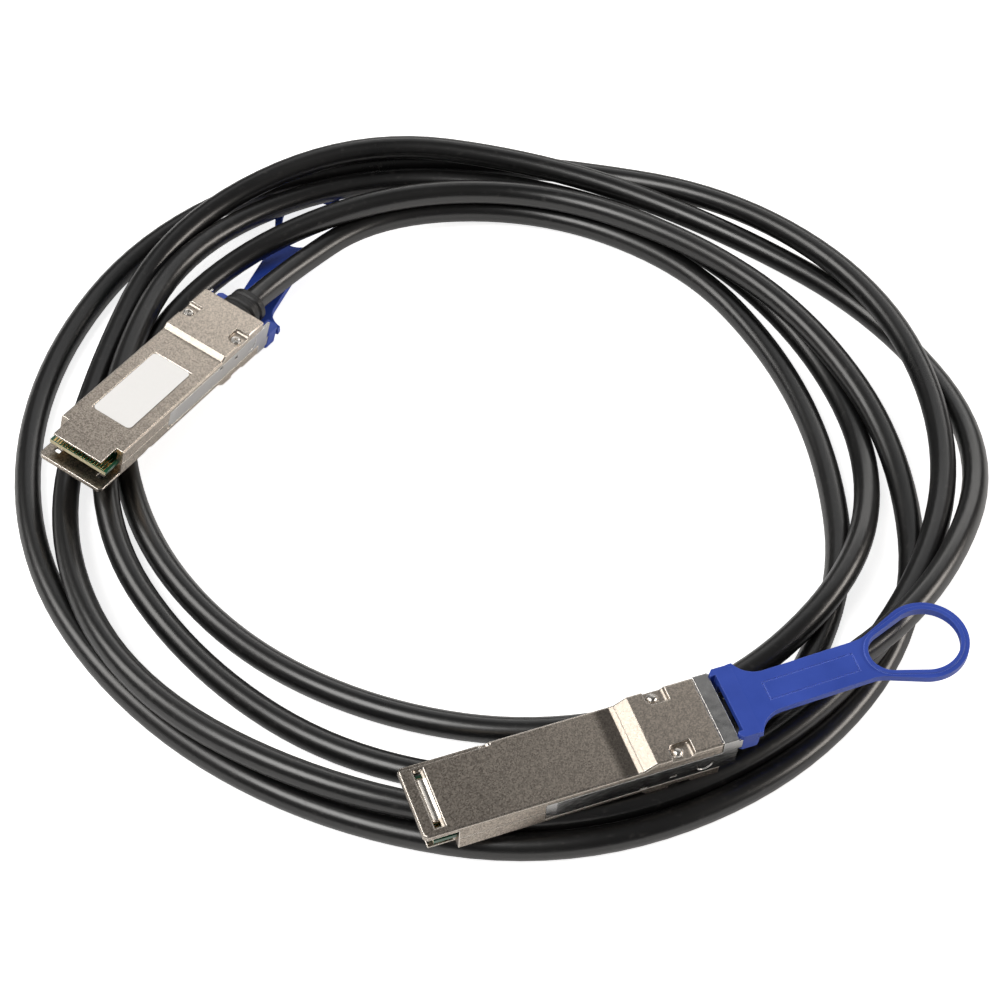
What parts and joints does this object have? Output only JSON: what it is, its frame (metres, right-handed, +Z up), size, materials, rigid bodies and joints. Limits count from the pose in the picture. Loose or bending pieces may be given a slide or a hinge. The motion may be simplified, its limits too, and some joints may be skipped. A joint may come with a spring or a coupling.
{
  "type": "direct attach copper cable",
  "caption": "Coiled copper network cable with a die-cast pluggable connector, sprung latch slider and finger pull tab at each end.",
  "frame": {"origin": "middle of the two plugs' and pull tabs' box at the surface the cable lies on; the cable alone reaches past that box", "axes": "+Z up from the surface, +Y away from the viewer of the coiled cable, +X to the viewer's right"},
  "size_m": [0.2422, 0.2349, 0.0255],
  "materials": {
    "plated_casting": "satin",
    "circuit_board": "gloss",
    "gold_contacts": "polished",
    "chip_body": "matte",
    "clamp_resin": "matte",
    "foil_pairs": "satin",
    "brass_ferrule": "satin",
    "moulded_boot": "satin",
    "screw_steel": "satin",
    "polished_slider": "polished",
    "spring_steel": "satin",
    "label_film": "matte",
    "blue_tab": "satin",
    "cable_jacket": "satin"
  },
  "bodies": {
    "cable_set": {"plug_a_base_shell": "plated_casting", "plug_a_cover_shell": "plated_casting", "plug_a_paddle_card": "circuit_board", "plug_a_contact_fingers": "gold_contacts", "plug_a_memory_chip": "chip_body", "plug_a_wire_clamp": "clamp_resin", "plug_a_twinax_pairs": "foil_pairs", "plug_a_crimp_ferrule": "brass_ferrule", "plug_a_strain_relief": "moulded_boot", "plug_a_shell_screws": "screw_steel", "plug_a_latch_springs": "spring_steel", "plug_a_label": "label_film", "plug_b_base_shell": "plated_casting", "plug_b_cover_shell": "plated_casting", "plug_b_paddle_card": "circuit_board", "plug_b_contact_fingers": "gold_contacts", "plug_b_memory_chip": "chip_body", "plug_b_wire_clamp": "clamp_resin", "plug_b_twinax_pairs": "foil_pairs", "plug_b_crimp_ferrule": "brass_ferrule", "plug_b_strain_relief": "moulded_boot", "plug_b_shell_screws": "screw_steel", "plug_b_latch_springs": "spring_steel", "plug_b_label": "label_film", "cable_jacket": "cable_jacket"},
    "latch_a": {"plug_a_latch_slider": "polished_slider", "plug_a_pull_tab": "blue_tab"},
    "latch_b": {"plug_b_latch_slider": "polished_slider", "plug_b_pull_tab": "blue_tab"}
  },
  "joints": [
    {"name": "latch_a_slide", "type": "slide", "parent": "cable_set", "child": "latch_a", "axis": [0.9365, 0.3502, -0.0175], "range_m": [0, 0.0028], "stiffness_N_per_m": 900, "springref_m": -0.002, "deforming": ["plug_a_latch_springs"]},
    {"name": "latch_b_slide", "type": "slide", "parent": "cable_set", "child": "latch_b", "axis": [0.4795, 0.865, -0.1478], "range_m": [0, 0.0028], "stiffness_N_per_m": 900, "springref_m": -0.002, "deforming": ["plug_b_latch_springs"]}
  ]
}
